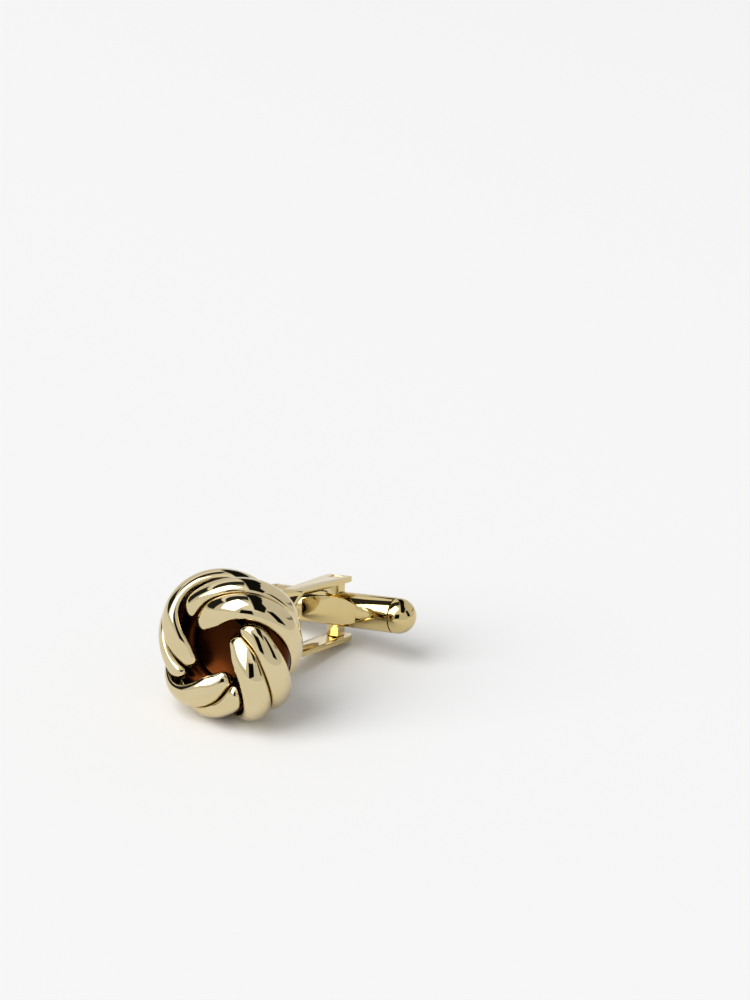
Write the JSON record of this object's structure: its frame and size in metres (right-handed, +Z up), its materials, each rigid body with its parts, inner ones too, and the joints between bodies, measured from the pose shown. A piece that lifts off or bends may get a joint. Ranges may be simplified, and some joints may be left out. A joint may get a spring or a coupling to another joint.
{
  "type": "knot cufflink with swivel bar back",
  "caption": "Gold knot cufflink of domed strips, with a forked shank and a swivelling bar toggle on a detent spring.",
  "frame": {"origin": "on the table, under the middle of the cufflink's box as it lies", "axes": "+X from the knot's face towards the toggle, +Y along the toggle, +Z up from the table"},
  "size_m": [0.0294, 0.02, 0.0157],
  "materials": {
    "gold_plate": "gold plated, mirror polished",
    "gold_inside": "gold plated, left from the bath",
    "spring_steel": "rolled strip"
  },
  "bodies": {
    "head": {"knot_strip_1a": "gold_plate", "knot_strip_1b": "gold_plate", "knot_strip_2a": "gold_plate", "knot_strip_2b": "gold_plate", "knot_strip_3a": "gold_plate", "knot_strip_3b": "gold_plate", "knot_strip_4a": "gold_plate", "knot_strip_4b": "gold_plate", "knot_core": "gold_inside", "shank_neck": "gold_plate", "shank_bracket": "gold_plate", "pivot_pin": "gold_plate"},
    "toggle": {"toggle_barrel": "gold_plate", "toggle_cap_left": "gold_plate", "toggle_cap_right": "gold_plate", "detent_spring": "spring_steel"}
  },
  "joints": [
    {"name": "toggle_swivel", "type": "hinge", "parent": "head", "child": "toggle", "pos_m": [0.01217, 0, 0.00401], "axis": [0.1657, 0.1805, 0.9695], "range_deg": [-90, 90], "deforming": ["detent_spring"]}
  ]
}
